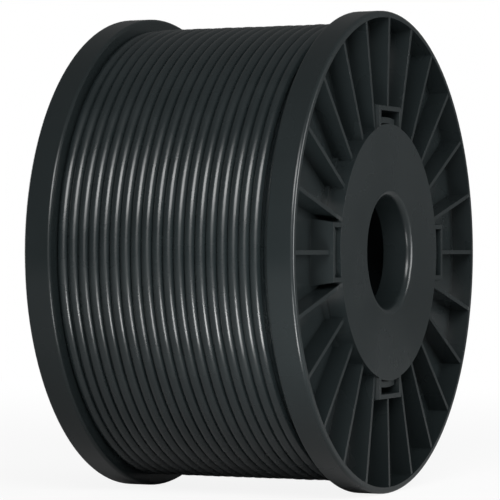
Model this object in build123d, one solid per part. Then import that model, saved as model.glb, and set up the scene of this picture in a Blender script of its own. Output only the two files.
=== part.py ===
from build123d import *
import math
import os

# A moulded plastic cable drum wound with round cable.
# The drum lies on its two rims. Its spin axis is Y, its centre is the origin and +Z is up.
# Each flange is drawn with its inner face at Y = 0 and its outer side towards +Y, and is then
# moved to its place. All sizes are in millimetres.

# Flange rim
flange_diameter = 300.0
rim_width = 17.8
rim_wall = 4.0
rim_inner_round = 2.0
rim_outer_round = 2.0

# Flange web and ribs
web_thickness = 4.0
rib_count = 24
rib_thickness = 2.6
rib_drop_at_hub = 2.0
rib_drop_at_rim = 0.5

# Hub of the flange, whose plate is flush with the rim
hub_radius = 79.3
hub_wall = 3.5
hub_plate_thickness = 3.5
hub_step_width = 2.6
hub_step_drop = 10.5
spigot_length = 8.0

# Bore for the spindle
bore_radius = 35.0
bore_round = 4.0
collar_wall = 5.0
collar_length = 18.8

# Snap slots, each with a raised frame that widens towards the web
slot_count = 4
slot_length = 30.0
slot_width = 8.7
slot_frame_wall = 2.8
slot_frame_draft = 10.0
slot_pad = 0.5

# Barrel between the flanges
drum_inner_width = 141.2
barrel_wall = 4.0
barrel_fit = 0.4
spigot_fit = 0.6
tab_length = 15.0
tab_side_gap = 1.5
barb_height = 2.2
barb_length = 6.0
barb_seat_gap = 0.3

# Wound cable
turn_count = 20
layer_count = 9
layer_pitch = 6.57
winding_side_gap = 0.2
groove_depth = 2.2
crest_width = 2.8
end_groove_depth = 1.8
winding_bore_gap = 0.2

# How far a cutting shape runs past what it cuts
cut_margin = 1.0

# Sizes that follow from those above
flange_radius = flange_diameter / 2
rim_inner_radius = flange_radius - rim_wall
hub_inner_radius = hub_radius - hub_wall
step_radius = hub_radius + hub_step_width
slot_outer_radius = hub_radius + slot_width
frame_outer_radius = slot_outer_radius + slot_frame_wall
slot_inner_radius = hub_radius + slot_pad
barrel_inner_radius = slot_inner_radius + barrel_fit
spigot_radius = barrel_inner_radius - spigot_fit
barrel_radius = barrel_inner_radius + barrel_wall
winding_bore_radius = barrel_radius + winding_bore_gap
winding_radius = winding_bore_radius + layer_count * layer_pitch
winding_width = drum_inner_width - 2 * winding_side_gap
turn_pitch = winding_width / turn_count


def section(r_low, r_high, y_low, y_high):
    """A rectangle of the half section, from one radius and height to another."""
    middle = Pos((r_low + r_high) / 2, (y_low + y_high) / 2)
    return middle * Rectangle(r_high - r_low, y_high - y_low)


def flange_body():
    """The turned form of the flange: rim, web, hub, collar and spigot."""
    rim = section(rim_inner_radius, flange_radius, 0, rim_width)
    outside = rim.vertices().group_by(Axis.X)[-1].sort_by(Axis.Y)
    rim = fillet(outside[0], rim_inner_round)
    outside = rim.vertices().group_by(Axis.Y)[-1].sort_by(Axis.X)
    rim = fillet(outside[-1], rim_outer_round)
    web = section(hub_inner_radius, rim_inner_radius + rim_wall / 2, 0, web_thickness)
    hub = section(hub_inner_radius, hub_radius, 0, rim_width)
    step = section(hub_inner_radius, step_radius, 0, rim_width - hub_step_drop)
    plate = section(bore_radius, hub_radius, rim_width - hub_plate_thickness, rim_width)
    collar = section(bore_radius, bore_radius + collar_wall, rim_width - collar_length, rim_width)
    mouth = (plate + collar).vertices().group_by(Axis.Y)[-1].sort_by(Axis.X)[0]
    hub_face = fillet(mouth, bore_round)
    spigot = section(hub_inner_radius, spigot_radius, -spigot_length, web_thickness)
    return revolve(rim + web + hub + step + hub_face + spigot, Axis.Y)


def rib():
    """One radial rib from the hub wall to the rim."""
    inner = hub_radius - hub_wall / 2
    outer = rim_inner_radius + rim_wall / 2
    foot = web_thickness / 2
    side = Polyline(
        (inner, foot),
        (outer, foot),
        (outer, rim_width - rib_drop_at_rim),
        (inner, rim_width - rib_drop_at_hub),
        close=True,
    )
    return extrude(make_face(side), rib_thickness / 2, both=True)


def block(r_low, r_high, y_low, y_high, length):
    """A box across the X axis, from one radius and height to another."""
    centre = Pos((r_low + r_high) / 2, (y_low + y_high) / 2, 0)
    return centre * Box(r_high - r_low, y_high - y_low, length)


def hub_cylinder(radius, y_low, y_high):
    """A plain cylinder about the spin axis."""
    return revolve(section(0, radius, y_low, y_high), Axis.Y)


def slot_frame():
    """The raised frame round one snap slot, drafted so that it widens towards the web."""
    length = slot_length + 2 * slot_frame_wall
    inner = hub_inner_radius - rim_width
    top = Plane.XZ.offset(-rim_width) * Pos((inner + frame_outer_radius) / 2, 0)
    outline = top * Rectangle(frame_outer_radius - inner, length)
    frame = extrude(outline, rim_width - web_thickness / 2, taper=-slot_frame_draft)
    return frame - hub_cylinder(hub_radius - hub_wall / 2, 0, rim_width + cut_margin)


def slot_void():
    """The space inside one snap slot, with its narrower way through the web."""
    above = rim_width + cut_margin
    wide = block(hub_inner_radius, slot_outer_radius, web_thickness, above, slot_length)
    way_radius = barrel_radius + barrel_fit
    way = block(hub_inner_radius, way_radius, -cut_margin, web_thickness + cut_margin, slot_length)
    return wide + way - hub_cylinder(slot_inner_radius, -2 * cut_margin, above + cut_margin)


def around(shape, count):
    """Equal copies of a shape about the spin axis."""
    return [Rot(0, 360 / count * i, 0) * shape for i in range(count)]


def flange():
    """One flange, with its outer side towards +Y."""
    body = flange_body() + around(rib(), rib_count)
    body += around(slot_frame(), slot_count)
    body -= around(slot_void(), slot_count)
    return body


def barb():
    """The hook on one snap tab, which holds behind the web of the flange."""
    seat = web_thickness + barb_seat_gap
    root = barrel_radius - barrel_wall / 2
    hook = Polyline(
        (root, seat),
        (barrel_radius + barb_height, seat),
        (barrel_radius - barb_height, seat + barb_length),
        (root, seat + barb_length),
        close=True,
    )
    return extrude(make_face(hook), slot_length / 4, both=True)


def barrel_end_cut():
    """What is cut from one end of the tube, so that only the snap tabs are left."""
    width = slot_length - 2 * tab_side_gap
    end = tab_length + cut_margin
    ring = revolve(section(hub_inner_radius, frame_outer_radius, 0, end), Axis.Y)
    tab_space = block(0, frame_outer_radius + cut_margin, -cut_margin, end + cut_margin, width)
    return ring - around(tab_space, slot_count)


def barrel():
    """The hollow barrel, with snap tabs at both ends."""
    half = drum_inner_width / 2
    reach = half + tab_length
    tube = revolve(section(barrel_inner_radius, barrel_radius, -reach, reach), Axis.Y)
    end_cut = Pos(0, half, 0) * barrel_end_cut()
    hooks = [Pos(0, half, 0) * hook for hook in around(barb(), slot_count)]
    for turn in (0, 180):
        tube -= Rot(0, 0, turn) * end_cut
        tube += [Rot(0, 0, turn) * hook for hook in hooks]
    return tube


def winding_end():
    """Points of one end of the winding from the bore outwards, with a ridge for each layer."""
    points = [(winding_bore_radius, end_groove_depth)]
    for layer in range(layer_count):
        foot = winding_bore_radius + layer * layer_pitch
        points.append((foot + layer_pitch / 2, 0))
        points.append((foot + layer_pitch, end_groove_depth))
    return points[:-1]


def winding_outside():
    """Points of the outside of the winding, with a ridge for each turn of the outer layer."""
    groove = winding_radius - groove_depth
    points = []
    for turn in range(turn_count):
        middle = (turn + 0.5) * turn_pitch
        points.append((winding_radius, middle - crest_width / 2))
        points.append((winding_radius, middle + crest_width / 2))
        points.append((groove, middle + turn_pitch / 2))
    return points[:-1]


def winding():
    """The wound cable as one turned solid with its bore."""
    near_end = winding_end()
    far_end = [(radius, winding_width - depth) for radius, depth in reversed(near_end)]
    outline = Polyline(*near_end, *winding_outside(), *far_end, close=True)
    return Pos(0, -winding_width / 2, 0) * revolve(make_face(outline), Axis.Y)


os.makedirs("parts", exist_ok=True)

back_flange = Pos(0, drum_inner_width / 2, 0) * flange()
front_flange = Rot(0, 0, 180) * back_flange

nodes = {
    "flange_front": front_flange,
    "flange_back": back_flange,
    "core_barrel": barrel(),
    "cable_winding": winding(),
}

for name, shape in nodes.items():
    export_step(shape, f"parts/{name}.step")
    print(name, round(shape.volume / 1000, 1), "cm3")

print("winding radius", round(winding_radius, 2))
print("cable length", round(layer_count * turn_count * math.pi
                           * (winding_bore_radius + winding_radius) / 1000, 1), "m")
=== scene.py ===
# %% [markdown]
# # A plastic cable drum, from bare solids to a finished look
#
# The object is a black moulded drum, 300 mm across, fully wound with round black cable. Its solids
# arrive at their real size and place, and this lesson never moves them. It rounds the edges of the
# mouldings, lays the cable turn by turn, and gives each surface a material made of nodes.

# %% Load the frame
import math
import random

import bpy
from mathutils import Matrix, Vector


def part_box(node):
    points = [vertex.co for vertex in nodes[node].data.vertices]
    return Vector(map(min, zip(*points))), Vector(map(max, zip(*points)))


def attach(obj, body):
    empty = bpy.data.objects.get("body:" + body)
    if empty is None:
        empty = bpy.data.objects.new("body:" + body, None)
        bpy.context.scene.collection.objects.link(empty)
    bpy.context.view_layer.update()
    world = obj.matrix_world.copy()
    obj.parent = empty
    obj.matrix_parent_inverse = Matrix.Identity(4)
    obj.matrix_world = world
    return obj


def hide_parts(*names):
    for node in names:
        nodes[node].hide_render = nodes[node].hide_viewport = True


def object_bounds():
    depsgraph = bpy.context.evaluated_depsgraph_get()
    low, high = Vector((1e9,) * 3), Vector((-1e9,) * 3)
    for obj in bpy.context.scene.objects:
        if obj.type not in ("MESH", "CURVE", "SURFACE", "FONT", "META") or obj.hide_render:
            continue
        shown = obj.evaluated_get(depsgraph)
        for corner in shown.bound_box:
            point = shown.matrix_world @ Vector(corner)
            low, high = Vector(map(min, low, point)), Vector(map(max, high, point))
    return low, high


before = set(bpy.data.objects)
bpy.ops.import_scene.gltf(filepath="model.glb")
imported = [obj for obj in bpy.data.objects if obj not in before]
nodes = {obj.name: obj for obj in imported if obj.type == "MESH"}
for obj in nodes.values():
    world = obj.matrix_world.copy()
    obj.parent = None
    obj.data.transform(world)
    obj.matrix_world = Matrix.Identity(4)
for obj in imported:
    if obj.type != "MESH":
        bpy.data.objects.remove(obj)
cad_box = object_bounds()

MM = 0.001
print("CAD box in metres:", [[round(v, 4) for v in corner] for corner in cad_box])

# %% [markdown]
# ## Sizes that everything shares
#
# The drum's spin axis is Y and its centre is the origin. Most sizes are read from the boxes of the
# solids, so that the pieces made here follow them. Two values are written down: the count of turns,
# and how much of its pitch each turn fills. That is a little under 1, because the turns lie side by
# side and hardly press on each other.

# %% Read the sizes of the drum
winding_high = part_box("cable_winding")[1]
barrel_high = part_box("core_barrel")[1]
FLOOR_Z = cad_box[0][2]

TURNS = 20
CABLE_FILL = 0.992
WINDING_RADIUS = winding_high.x
WINDING_HALF = winding_high.y
PITCH = 2 * WINDING_HALF / TURNS
CABLE_RADIUS = CABLE_FILL * PITCH / 2
print("turn pitch", round(PITCH / MM, 2), "mm, winding radius", round(WINDING_RADIUS / MM, 2), "mm")

# %% [markdown]
# ## Helpers for selecting and finishing
#
# An operator works on all that is selected, and loading the frame leaves the solids selected. So
# each step first clears the selection and then picks the one object that it works on.


# %% Select one object, and apply what is on it
def pick(obj):
    """Make obj the only selected object, and the active one."""
    bpy.ops.object.select_all(action="DESELECT")
    obj.select_set(True)
    bpy.context.view_layer.objects.active = obj


def apply_modifiers(obj):
    """Bake every modifier of obj into its mesh."""
    pick(obj)
    for modifier in list(obj.modifiers):
        bpy.ops.object.modifier_apply(modifier=modifier.name)


def count_triangles(obj):
    """How many triangles the mesh of obj makes."""
    return sum(len(face.vertices) - 2 for face in obj.data.polygons)


# %% [markdown]
# ## The mouldings: two flanges and a barrel
#
# Each flange is one injection moulding with ribs, rim and hub. A mould never has razor-sharp
# corners: a radius of about half a millimetre runs along every rib, and it catches the light in
# thin bright lines. The solids have the right shape but hard edges and loose triangles. Rounding
# them by hand, edge by edge, would take hundreds of picks. So a copy is merged into clean faces, a
# Bevel modifier rounds only its real corners, and a Weighted Normal modifier keeps the wide flat
# faces looking flat beside the small roundings.

# %% Round the edges of a moulding
MERGE_DISTANCE = 0.01 * MM
FLAT_ANGLE = math.radians(0.5)
CORNER_ANGLE = math.radians(30)
SMOOTH_ANGLE = math.radians(40)
EDGE_SEGMENTS = 2


def rounded_copy(node, name, width):
    """A copy of a CAD node with its triangles merged and its corners rounded."""
    piece = bpy.data.objects.new(name, nodes[node].data.copy())
    bpy.context.scene.collection.objects.link(piece)
    pick(piece)
    bpy.ops.object.mode_set(mode="EDIT")
    bpy.ops.mesh.select_all(action="SELECT")
    bpy.ops.mesh.remove_doubles(threshold=MERGE_DISTANCE)
    bpy.ops.mesh.dissolve_limited(angle_limit=FLAT_ANGLE)
    bpy.ops.object.mode_set(mode="OBJECT")
    bevel = piece.modifiers.new("edge_round", "BEVEL")
    bevel.width = width
    bevel.segments = EDGE_SEGMENTS
    bevel.limit_method = "ANGLE"
    bevel.angle_limit = CORNER_ANGLE
    apply_modifiers(piece)
    bpy.ops.object.shade_smooth_by_angle(angle=SMOOTH_ANGLE)
    flat = piece.modifiers.new("flat_faces", "WEIGHTED_NORMAL")
    flat.keep_sharp = True
    apply_modifiers(piece)
    print(name, count_triangles(piece), "triangles")
    return piece


# %% Make the mouldings and put them in place of their solids
FLANGE_EDGE = 0.5 * MM
BARREL_EDGE = 0.3 * MM
MOULDINGS = {
    "flange_front": ("front_moulding", FLANGE_EDGE, "drum_plastic"),
    "flange_back": ("back_moulding", FLANGE_EDGE, "drum_plastic"),
    "core_barrel": ("barrel_moulding", BARREL_EDGE, "barrel_plastic"),
}
mouldings = []
for node, (name, edge, slot) in MOULDINGS.items():
    piece = rounded_copy(node, name, edge)
    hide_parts(node)
    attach(piece, "root")
    mouldings.append(piece)

# %% [markdown]
# ## The outer layer of cable
#
# Cable on a drum isn't a plain spiral. Each turn lies square to the axis for most of the way round
# and then steps sideways by one cable width in a short crossing. All crossings lie side by side, on
# the far side here. At both flanges the cable dives into the layers below. The last turn, beside the
# near flange, has sunk into the corner, and that leaves a dark groove along the rim. It ends under
# its own beginning.
#
# A ring for each turn would be easier, and a Screw modifier would make a spiral, but neither has
# crossings, and the back of the drum would give them away. So one curve runs through all turns, and
# its round bevel is the jacket. Real turns are never quite even, so each one wanders by a tenth of a
# millimetre, and that breaks up the long highlights.

# %% Sizes of the cable's path
FULL_TURN = 2 * math.pi
CROSSING = math.radians(40)
DIVE = 3.1 * CABLE_RADIUS
DIVE_ARC = math.radians(85)
LAST_TURN_SINK = 1.1 * CABLE_RADIUS
WANDER = 0.09 * MM
WANDER_WAVES = 3
WANDER_SEED = 7
TURN_RADIUS = WINDING_RADIUS - CABLE_RADIUS - WANDER
WHOLE_ANGLE = TURNS * FULL_TURN
random.seed(WANDER_SEED)
turn_phase = [random.uniform(0, FULL_TURN) for _ in range(TURNS)]
print("ends dive", round(DIVE / MM, 1), "mm, last turn sinks", round(LAST_TURN_SINK / MM, 1), "mm")


# %% The path of the cable
def ease(t):
    """A step from 0 to 1 that starts and stops gently."""
    t = min(max(t, 0.0), 1.0)
    return t * t * (3 - 2 * t)


def wander(angle, turn):
    """A small smooth offset that differs from turn to turn and closes with each turn."""
    return WANDER * math.sin(WANDER_WAVES * angle + turn_phase[turn])


def cable_point(angle):
    """The middle of the cable after this much angle, measured from where the layer starts."""
    turn = min(int(angle // FULL_TURN), TURNS - 1)
    within = angle - turn * FULL_TURN
    side_step = ease((within - FULL_TURN + CROSSING) / CROSSING)
    if turn == TURNS - 1:
        side_step = 0
    y = WINDING_HALF - (turn + 0.5 + side_step) * PITCH
    # The cable sinks in the second half of the crossing to the last turn.
    into_last_turn = turn + side_step - (TURNS - 2)
    sink = LAST_TURN_SINK * ease(2 * into_last_turn - 1)
    to_an_end = min(angle, WHOLE_ANGLE - angle)
    depth = sink + (DIVE - sink) * (1 - ease(to_an_end / DIVE_ARC))
    radius = TURN_RADIUS - depth + wander(angle, turn) * ease(to_an_end)
    # Half a crossing more puts the middle of each crossing on +X, away from the camera.
    heading = angle + CROSSING / 2
    return Vector((radius * math.cos(heading), y, radius * math.sin(heading)))


# %% Lay the turns
POINTS_PER_TURN = 48
PIECES_PER_SPAN = 3
ROUNDNESS = 6


def lay_turns():
    """The whole outer layer as one length of cable."""
    spans = POINTS_PER_TURN * TURNS
    curve = bpy.data.curves.new("outer_turns", "CURVE")
    curve.dimensions = "3D"
    curve.bevel_depth = CABLE_RADIUS
    curve.bevel_resolution = ROUNDNESS
    curve.resolution_u = PIECES_PER_SPAN
    curve.use_fill_caps = True
    spline = curve.splines.new("NURBS")
    spline.points.add(spans)
    # A control point's fourth number is its weight, and to_4d makes it 1.
    for i, point in enumerate(spline.points):
        point.co = cable_point(WHOLE_ANGLE * i / spans).to_4d()
    spline.order_u = 4
    spline.use_endpoint_u = True
    turns = bpy.data.objects.new("outer_turns", curve)
    bpy.context.scene.collection.objects.link(turns)
    pick(turns)
    bpy.ops.object.convert(target="MESH")
    bpy.ops.object.shade_smooth()
    turns = bpy.context.view_layer.objects.active
    print("outer turns", count_triangles(turns), "triangles")
    return turns


outer_turns = lay_turns()

# %% [markdown]
# ## The layers below
#
# Under the outer turns lies the next layer, and it shows in slivers at the crossings and along the
# far flange. It could be a second curve like the first, but nobody sees its crossings, and rings
# are lighter. A circle is the section of one ring, Spin takes it once round the axis, and an Array
# copies it across the drum. There is none beside the near flange, where the last outer turn has
# sunk into its place.
#
# What lies deeper never shows, so it is one plain turned body that fills the room down to the
# barrel. The barrel's box takes in its snap hooks, so their height comes off again.

# %% Spin a section about the drum's axis
SPIN_STEPS = 128


def spin_section(obj):
    """Spin the section in obj once round the Y axis and close the seam."""
    pick(obj)
    bpy.ops.object.mode_set(mode="EDIT")
    bpy.ops.mesh.select_all(action="SELECT")
    bpy.ops.mesh.spin(steps=SPIN_STEPS, angle=FULL_TURN, center=(0, 0, 0), axis=(0, 1, 0))
    bpy.ops.mesh.select_all(action="SELECT")
    bpy.ops.mesh.remove_doubles(threshold=MERGE_DISTANCE)
    bpy.ops.mesh.normals_make_consistent(inside=False)
    bpy.ops.object.mode_set(mode="OBJECT")
    bpy.ops.object.transform_apply(location=True, rotation=True, scale=True)


# %% One ring of the layer below, copied across the drum
RING_SIDES = 12
SUNK_TURNS = 1
LAYER_STEP = 1.86 * CABLE_RADIUS
LOWER_RADIUS = TURN_RADIUS - LAYER_STEP


def lower_turns():
    """The rings of the layer below, from beside the sunk turn to the far flange."""
    bpy.ops.object.select_all(action="DESELECT")
    bpy.ops.mesh.primitive_circle_add(
        vertices=RING_SIDES,
        radius=CABLE_RADIUS,
        location=(LOWER_RADIUS, (SUNK_TURNS + 0.5) * PITCH - WINDING_HALF, 0),
    )
    ring = bpy.context.view_layer.objects.active
    ring.name = "lower_turns"
    bpy.ops.object.transform_apply(location=True)
    spin_section(ring)
    row = ring.modifiers.new("across", "ARRAY")
    row.count = TURNS - SUNK_TURNS
    row.use_relative_offset = False
    row.use_constant_offset = True
    row.constant_offset_displace = (0, PITCH, 0)
    apply_modifiers(ring)
    bpy.ops.object.shade_smooth()
    print("lower turns", count_triangles(ring), "triangles")
    return ring


lower_layer = lower_turns()

# %% The body of the deeper layers
HOOK_HEIGHT = 2.2 * MM
BARREL_GAP = 0.5 * MM
RING_OVERLAP = 0.5 * CABLE_RADIUS
FLANGE_INSET = 0.3 * CABLE_RADIUS


def deep_layers():
    """What fills the room between the barrel and the lower turns, which it overlaps a little."""
    inner = barrel_high.x - HOOK_HEIGHT + BARREL_GAP
    outer = LOWER_RADIUS - CABLE_RADIUS + RING_OVERLAP
    half = WINDING_HALF - FLANGE_INSET
    bpy.ops.object.select_all(action="DESELECT")
    bpy.ops.mesh.primitive_plane_add(size=1, location=((inner + outer) / 2, 0, 0))
    body = bpy.context.view_layer.objects.active
    body.name = "deep_layers"
    body.scale = (outer - inner, 2 * half, 1)
    bpy.ops.object.transform_apply(location=True, scale=True)
    bpy.ops.object.mode_set(mode="EDIT")
    bpy.ops.mesh.select_all(action="SELECT")
    bpy.ops.mesh.delete(type="ONLY_FACE")
    bpy.ops.object.mode_set(mode="OBJECT")
    spin_section(body)
    bpy.ops.object.shade_smooth_by_angle(angle=SMOOTH_ANGLE)
    print("deep layers", count_triangles(body), "triangles")
    return body


deep_body = deep_layers()

# %% Put the cable in place of its solid
cable_pieces = [outer_turns, lower_layer, deep_body]
for piece in cable_pieces:
    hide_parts("cable_winding")
    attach(piece, "root")
print("pieces of cable:", ", ".join(piece.name for piece in cable_pieces))

# %% [markdown]
# ## Effects that the materials share
#
# Black plastic is never one flat black. Its gloss drifts from place to place, and its skin has a
# very fine grain. Painted images could show that too, but nodes stay sharp at any distance and need
# no unwrapping. Both effects are node groups with named inputs, built once. A group hands out only
# values that change over the surface, and the shader itself stays in each material.


# %% A node group to start from
def new_group(name, inputs, outputs):
    """An empty shader group with float inputs and outputs, and its two end nodes."""
    group = bpy.data.node_groups.new(name, "ShaderNodeTree")
    for label, value in inputs.items():
        socket = group.interface.new_socket(label, in_out="INPUT", socket_type="NodeSocketFloat")
        socket.default_value = value
    for label in outputs:
        group.interface.new_socket(label, in_out="OUTPUT", socket_type="NodeSocketFloat")
    start = group.nodes.new("NodeGroupInput")
    end = group.nodes.new("NodeGroupOutput")
    return group, start, end


def noise(tree, detail):
    """A noise texture that reads Object coordinates."""
    coords = tree.nodes.new("ShaderNodeTexCoord")
    texture = tree.nodes.new("ShaderNodeTexNoise")
    texture.inputs["Detail"].default_value = detail
    tree.links.new(coords.outputs["Object"], texture.inputs["Vector"])
    return texture


# %% Gloss that drifts
CLOUD_LOW = 0.35
CLOUD_HIGH = 0.65


def build_gloss_drift():
    """Roughness that wanders between a low and a high value."""
    group, start, end = new_group(
        "gloss_drift",
        {"Scale": 20.0, "Low": 0.3, "High": 0.5},
        ["Roughness", "Mask"],
    )
    cloud = noise(group, detail=4)
    spread = group.nodes.new("ShaderNodeMapRange")
    spread.inputs["From Min"].default_value = CLOUD_LOW
    spread.inputs["From Max"].default_value = CLOUD_HIGH
    links = group.links
    links.new(start.outputs["Scale"], cloud.inputs["Scale"])
    links.new(cloud.outputs["Fac"], spread.inputs["Value"])
    links.new(start.outputs["Low"], spread.inputs["To Min"])
    links.new(start.outputs["High"], spread.inputs["To Max"])
    links.new(spread.outputs["Result"], end.inputs["Roughness"])
    links.new(cloud.outputs["Fac"], end.inputs["Mask"])
    return group


# %% A fine skin
def build_fine_skin():
    """A height for the finest relief of a surface, with some larger unevenness."""
    group, start, end = new_group(
        "fine_skin",
        {"Grain Scale": 1500.0, "Swell Scale": 60.0, "Swell Share": 0.3},
        ["Height"],
    )
    grain = noise(group, detail=2)
    swell = noise(group, detail=1)
    share = group.nodes.new("ShaderNodeMix")
    links = group.links
    links.new(start.outputs["Grain Scale"], grain.inputs["Scale"])
    links.new(start.outputs["Swell Scale"], swell.inputs["Scale"])
    links.new(start.outputs["Swell Share"], share.inputs["Factor"])
    links.new(grain.outputs["Fac"], share.inputs["A"])
    links.new(swell.outputs["Fac"], share.inputs["B"])
    links.new(share.outputs["Result"], end.inputs["Height"])
    return group


gloss_drift = build_gloss_drift()
fine_skin = build_fine_skin()
print("groups:", gloss_drift.name, fine_skin.name)

# %% [markdown]
# ## Materials
#
# The drum is satin black polypropylene and the cable's jacket is black PVC. They look much alike:
# the jacket has a finer skin and a little more sheen, and its round turns do the rest. The base
# colours are darker than the plastic looks, because the soft lamps lay a veil of gloss over them.
# One function makes both from a finish, which keeps the two easy to compare.


# %% A material from a finish
def put_group(tree, group, values):
    """Place a group in a material with its own values."""
    node = tree.nodes.new("ShaderNodeGroup")
    node.node_tree = group
    for label, value in values.items():
        node.inputs[label].default_value = value
    return node


def black_plastic(name, dark, light, gloss, skin, relief, index, sheen):
    """A black plastic whose tint and gloss drift between two values."""
    material = bpy.data.materials.new(name)
    material.use_nodes = True
    tree = material.node_tree
    tree.nodes.clear()
    output = tree.nodes.new("ShaderNodeOutputMaterial")
    shader = tree.nodes.new("ShaderNodeBsdfPrincipled")
    shader.inputs["IOR"].default_value = index
    shader.inputs["Specular IOR Level"].default_value = sheen
    drift = put_group(tree, gloss_drift, gloss)
    surface = put_group(tree, fine_skin, skin)
    tint = tree.nodes.new("ShaderNodeMix")
    tint.data_type = "RGBA"
    tint.inputs["A"].default_value = dark
    tint.inputs["B"].default_value = light
    bump = tree.nodes.new("ShaderNodeBump")
    for label, value in relief.items():
        bump.inputs[label].default_value = value
    links = tree.links
    links.new(drift.outputs["Mask"], tint.inputs["Factor"])
    links.new(tint.outputs["Result"], shader.inputs["Base Color"])
    links.new(drift.outputs["Roughness"], shader.inputs["Roughness"])
    links.new(surface.outputs["Height"], bump.inputs["Height"])
    links.new(bump.outputs["Normal"], shader.inputs["Normal"])
    links.new(shader.outputs["BSDF"], output.inputs["Surface"])
    return material


def dress(obj, material):
    """Give obj this one material."""
    obj.data.materials.clear()
    obj.data.materials.append(material)


# %% The drum's plastic
drum_plastic = black_plastic(
    "drum_polypropylene",
    dark=(0.0099, 0.0134, 0.0141, 1),
    light=(0.0133, 0.0178, 0.0187, 1),
    gloss={"Scale": 16.0, "Low": 0.23, "High": 0.3},
    skin={"Grain Scale": 1800.0, "Swell Scale": 90.0, "Swell Share": 0.35},
    relief={"Strength": 0.3, "Distance": 0.08 * MM},
    index=1.49,
    sheen=0.4,
)
for piece in mouldings:
    dress(piece, drum_plastic)
print(drum_plastic.name, "is on", len(mouldings), "mouldings")

# %% The cable's jacket
jacket = black_plastic(
    "cable_jacket_pvc",
    dark=(0.0098, 0.0137, 0.0146, 1),
    light=(0.0144, 0.0198, 0.0211, 1),
    gloss={"Scale": 45.0, "Low": 0.23, "High": 0.31},
    skin={"Grain Scale": 2500.0, "Swell Scale": 220.0, "Swell Share": 0.6},
    relief={"Strength": 0.14, "Distance": 0.035 * MM},
    index=1.53,
    sheen=0.5,
)
for piece in cable_pieces:
    dress(piece, jacket)
print(jacket.name, "is on", len(cable_pieces), "pieces of cable")

# %% [markdown]
# ## Floor and surroundings
#
# The ground is plain white. More lamps would make it so, but they would wash out the black plastic
# as well. So its whiteness comes from Light Path: what the camera sees directly is mostly white,
# while a plain grey level lights the drum and shows in its gloss. Near the drum a share of what the
# camera sees is ordinary shaded paint, so the drum keeps its soft shadow. Farther out the floor
# goes over into the white of the backdrop.


# %% How white the floor looks to the camera
WHITE = (1, 1, 1, 1)
SHADOW_REACH = 0.35
WHITE_FROM = 1.5
NEAR_WHITE_SHARE = 0.88
FAR_WHITE_SHARE = 1.0


def seen_by_camera(tree):
    """A value that is 1 for what the camera sees directly, and 0 for all else."""
    return tree.nodes.new("ShaderNodeLightPath").outputs["Is Camera Ray"]


def floor_white_share(tree):
    """How much of the floor is plain white to the camera, by the distance from the drum."""
    coords = tree.nodes.new("ShaderNodeTexCoord")
    length = tree.nodes.new("ShaderNodeVectorMath")
    length.operation = "LENGTH"
    fade = tree.nodes.new("ShaderNodeMapRange")
    fade.interpolation_type = "SMOOTHSTEP"
    fade.inputs["From Min"].default_value = SHADOW_REACH
    fade.inputs["From Max"].default_value = WHITE_FROM
    fade.inputs["To Min"].default_value = NEAR_WHITE_SHARE
    fade.inputs["To Max"].default_value = FAR_WHITE_SHARE
    share = tree.nodes.new("ShaderNodeMath")
    share.operation = "MULTIPLY"
    tree.links.new(coords.outputs["Object"], length.inputs[0])
    tree.links.new(length.outputs["Value"], fade.inputs["Value"])
    tree.links.new(fade.outputs["Result"], share.inputs[0])
    tree.links.new(seen_by_camera(tree), share.inputs[1])
    return share.outputs["Value"]


# %% Lay the floor
FLOOR_SIZE = 60
FLOOR_GREY = (0.45, 0.45, 0.45, 1)


def studio_floor():
    """The wide pale floor that the drum lies on."""
    bpy.ops.object.select_all(action="DESELECT")
    bpy.ops.mesh.primitive_plane_add(size=FLOOR_SIZE, location=(0, 0, FLOOR_Z))
    floor = bpy.context.view_layer.objects.active
    floor.name = "floor"
    material = bpy.data.materials.new("floor_white")
    material.use_nodes = True
    tree = material.node_tree
    tree.nodes.clear()
    output = tree.nodes.new("ShaderNodeOutputMaterial")
    tint = tree.nodes.new("ShaderNodeMix")
    tint.data_type = "RGBA"
    tint.inputs["A"].default_value = FLOOR_GREY
    tint.inputs["B"].default_value = WHITE
    paint = tree.nodes.new("ShaderNodeBsdfDiffuse")
    white = tree.nodes.new("ShaderNodeEmission")
    mix = tree.nodes.new("ShaderNodeMixShader")
    tree.links.new(seen_by_camera(tree), tint.inputs["Factor"])
    tree.links.new(tint.outputs["Result"], paint.inputs["Color"])
    tree.links.new(floor_white_share(tree), mix.inputs["Fac"])
    tree.links.new(paint.outputs["BSDF"], mix.inputs[1])
    tree.links.new(white.outputs["Emission"], mix.inputs[2])
    tree.links.new(mix.outputs["Shader"], output.inputs["Surface"])
    dress(floor, material)
    print("floor at", round(FLOOR_Z / MM, 1), "mm")


studio_floor()


# %% Light the surroundings
SKY_LEVEL = 0.13
BACKDROP_LEVEL = 1.0


def studio_sky():
    """Even grey light all round, which the camera sees as white."""
    world = bpy.data.worlds.new("studio_sky")
    bpy.context.scene.world = world
    world.use_nodes = True
    tree = world.node_tree
    tree.nodes.clear()
    output = tree.nodes.new("ShaderNodeOutputWorld")
    mix = tree.nodes.new("ShaderNodeMixShader")
    # A Mix Shader shows its input 1 where the factor is 0, and its input 2 where it is 1.
    for place, level in enumerate((SKY_LEVEL, BACKDROP_LEVEL), start=1):
        light = tree.nodes.new("ShaderNodeBackground")
        light.inputs["Color"].default_value = WHITE
        light.inputs["Strength"].default_value = level
        tree.links.new(light.outputs["Background"], mix.inputs[place])
    tree.links.new(seen_by_camera(tree), mix.inputs["Fac"])
    tree.links.new(mix.outputs["Shader"], output.inputs["Surface"])
    print("the sky lights at", SKY_LEVEL, "and looks", BACKDROP_LEVEL)


studio_sky()

# %% [markdown]
# ## The camera
#
# The view is the photograph's: almost level, from 65 degrees round to the left. A camera could be
# turned by eye until the drum fills the frame, but that leaves its distance open, because a longer
# lens from farther off frames the drum nearly the same way. So distance and lens were worked out
# from how much larger the near flange looks than the far one, which only one distance gives.

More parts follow.
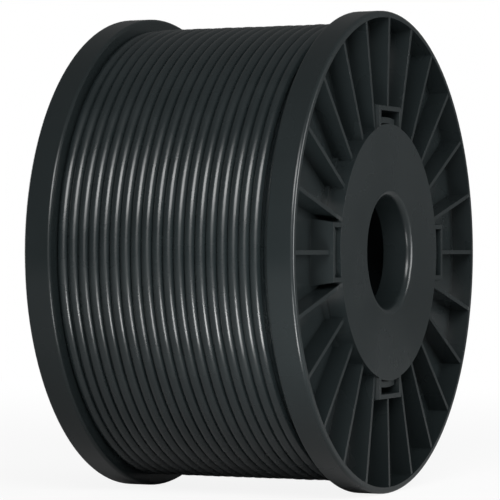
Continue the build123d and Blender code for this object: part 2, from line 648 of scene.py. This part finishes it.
# %% Place the camera
AZIMUTH = math.radians(-65.219)
DISTANCE = 1763.06 * MM
AIM_RIGHT = -7.165 * MM
AIM_UP = 1.412 * MM
FOCAL_PIXELS = 2773.2
FRAME_PIXELS = 500
SENSOR = 36

to_camera = Vector((math.sin(AZIMUTH), -math.cos(AZIMUTH), 0))
to_right = Vector((math.cos(AZIMUTH), math.sin(AZIMUTH), 0))
up = Vector((0, 0, 1))
camera_data = bpy.data.cameras.new("camera")
camera_data.sensor_width = SENSOR
camera_data.lens = FOCAL_PIXELS * SENSOR / FRAME_PIXELS
camera = bpy.data.objects.new("camera", camera_data)
bpy.context.scene.collection.objects.link(camera)
camera.location = to_camera * DISTANCE + to_right * AIM_RIGHT + up * AIM_UP
camera.rotation_euler = (-to_camera).to_track_quat("-Z", "Y").to_euler()
bpy.context.scene.camera = camera
print("lens", round(camera_data.lens, 1), "mm")

# %% [markdown]
# ## The lamps
#
# The cable shows two bands of gloss, one above and one below its middle, in the same place on
# every turn. A mirror on a cylinder tells where such light comes from: from behind the camera, 30
# degrees up, and 30 degrees down. So one wide soft box hangs above the camera's line, and a second
# lies just over the floor in front of the drum, as a bright table would. It is narrow, so that it
# lights the cable more than the near rim. Bright strips painted on the cable would look the same
# from here, but they wouldn't move as gloss does when the drum is seen from elsewhere.
#
# A third card, round to the right, lights the hub plate and the ribs, and a dim one at the camera's
# height fills the dark band between the two streaks. Two more light the back. They hang low,
# because a lamp high behind the drum draws a bright line along its top edge.


# %% A soft box
def soft_box(name, centre, aim, size, brightness):
    """A rectangular lamp at centre that faces aim. Its brightness is per area, as a lit card's is."""
    data = bpy.data.lights.new(name, "AREA")
    data.shape = "RECTANGLE"
    data.size, data.size_y = size
    data.energy = brightness * math.pi * size[0] * size[1]
    lamp = bpy.data.objects.new(name, data)
    bpy.context.scene.collection.objects.link(lamp)
    lamp.location = centre
    lamp.rotation_euler = (aim - centre).to_track_quat("-Z", "Y").to_euler()
    lamp.visible_camera = False
    return lamp


def hang_lamp(name, azimuth, elevation, distance, size, brightness):
    """A soft box that faces the drum's centre, with its azimuth measured from the camera's line."""
    turned = math.radians(azimuth)
    rise = math.radians(elevation)
    flat = to_camera * math.cos(turned) + to_right * math.sin(turned)
    place = (flat * math.cos(rise) + up * math.sin(rise)) * distance
    return soft_box(name, place, Vector((0, 0, 0)), size, brightness)


# %% The lamp above the camera
hang_lamp("above_camera", azimuth=0, elevation=29, distance=1.5, size=(1.0, 0.6), brightness=10.0)

# %% The bright table
TABLE_AHEAD = 0.375
TABLE_RIGHT = 0.025
TABLE_LIFT = 0.002
TABLE_SIZE = (0.075, 0.25)
TABLE_BRIGHTNESS = 17.5

table_height = up * (FLOOR_Z + TABLE_LIFT)
table_centre = to_camera * TABLE_AHEAD + to_right * TABLE_RIGHT + table_height
table = soft_box("bright_table", table_centre, table_centre + up, TABLE_SIZE, TABLE_BRIGHTNESS)
# Half a turn about X faces it up, and the azimuth sets its long side along the camera's line.
table.rotation_euler = (math.pi, 0, AZIMUTH)

# %% The other lamps
hang_lamp("side_fill", azimuth=78, elevation=3, distance=1.6, size=(0.9, 1.1), brightness=8.8)
hang_lamp("camera_level", azimuth=0, elevation=4, distance=2.4, size=(1.2, 1.0), brightness=1.2)
hang_lamp("behind", azimuth=176, elevation=6, distance=1.6, size=(0.8, 0.4), brightness=3.5)
hang_lamp("back_fill", azimuth=-128, elevation=4, distance=1.6, size=(0.9, 0.9), brightness=3.5)

# %% [markdown]
#
# The Standard view transform shows a colour about as it is written. A filmic one would bend the darks
# and the highlights, and both matter on black plastic. Neither the rounding of corners nor the cable
# may make the drum any larger.

# %% Set the view
bpy.context.scene.view_settings.view_transform = "Standard"
